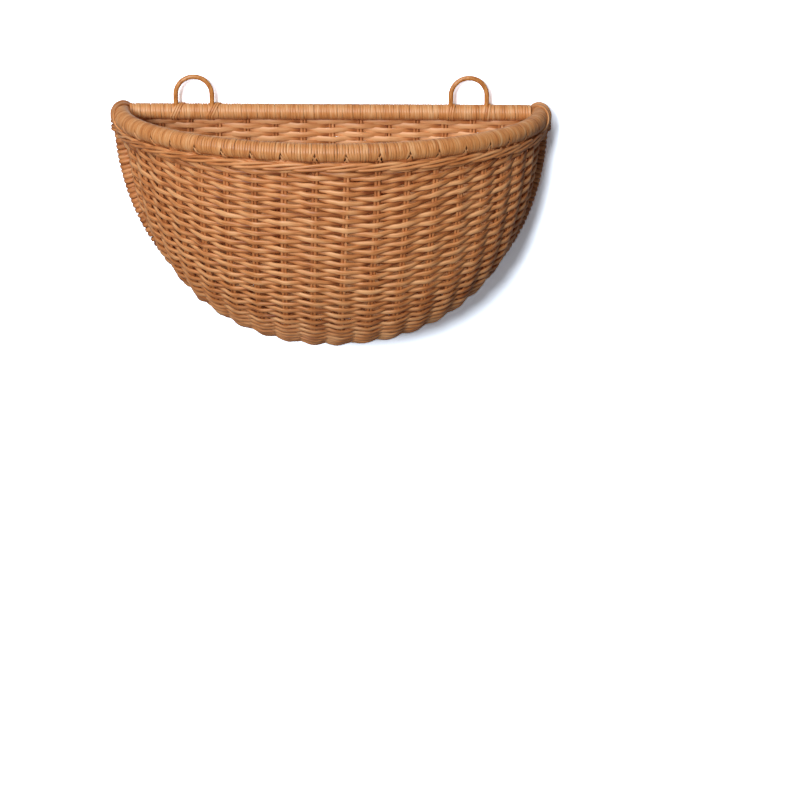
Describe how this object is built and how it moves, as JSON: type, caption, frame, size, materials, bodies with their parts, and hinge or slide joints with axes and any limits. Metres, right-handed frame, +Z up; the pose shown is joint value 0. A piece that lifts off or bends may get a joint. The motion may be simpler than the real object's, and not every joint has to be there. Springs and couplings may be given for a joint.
{
  "type": "wall basket",
  "caption": "Half-round rattan wall basket with a bound rim, a flat woven back and two cane rings to hang it by.",
  "frame": {"origin": "middle of the flat woven back's rear face, on the wall", "axes": "+Z up, +Y into the wall behind the basket, +X to the right for someone who faces the wall"},
  "size_m": [0.377, 0.1655, 0.2282],
  "materials": {
    "rattan_core": "matt woven rattan core",
    "rattan_stake": "matt rattan rods",
    "rattan_pole": "bare rattan pole",
    "rattan_peel": "close binding of satin rattan peel",
    "rattan_cane": "bare satin round cane"
  },
  "bodies": {
    "root": {"back_stake_pair_01": "rattan_stake", "back_stake_pair_02": "rattan_stake", "back_stake_pair_03": "rattan_stake", "back_stake_pair_04": "rattan_stake", "back_stake_pair_05": "rattan_stake", "back_stake_pair_06": "rattan_stake", "back_stake_pair_07": "rattan_stake", "back_stake_pair_08": "rattan_stake", "back_stake_pair_09": "rattan_stake", "back_stake_pair_10": "rattan_stake", "back_stake_pair_11": "rattan_stake", "back_stake_pair_12": "rattan_stake", "back_stake_pair_13": "rattan_stake", "back_weave": "rattan_core", "corner_lashing_left": "rattan_peel", "corner_lashing_right": "rattan_peel", "front_stake_pair_01": "rattan_stake", "front_stake_pair_02": "rattan_stake", "front_stake_pair_03": "rattan_stake", "front_stake_pair_04": "rattan_stake", "front_stake_pair_05": "rattan_stake", "front_stake_pair_06": "rattan_stake", "front_stake_pair_07": "rattan_stake", "front_stake_pair_08": "rattan_stake", "front_stake_pair_09": "rattan_stake", "front_stake_pair_10": "rattan_stake", "front_stake_pair_11": "rattan_stake", "front_stake_pair_12": "rattan_stake", "front_stake_pair_13": "rattan_stake", "front_stake_pair_14": "rattan_stake", "front_stake_pair_15": "rattan_stake", "front_stake_pair_16": "rattan_stake", "front_stake_pair_17": "rattan_stake", "front_stake_pair_18": "rattan_stake", "front_stake_pair_19": "rattan_stake", "front_stake_pair_20": "rattan_stake", "front_weave": "rattan_core", "hanging_ring_left": "rattan_cane", "hanging_ring_right": "rattan_cane", "lower_hoop": "rattan_pole", "rail_binding": "rattan_peel", "rail_pole": "rattan_pole", "rim_binding": "rattan_peel", "rim_pole": "rattan_pole", "side_hoop_left": "rattan_pole", "side_hoop_right": "rattan_pole", "wale_strand_1": "rattan_core", "wale_strand_2": "rattan_core", "wale_strand_3": "rattan_core"}
  },
  "joints": []
}
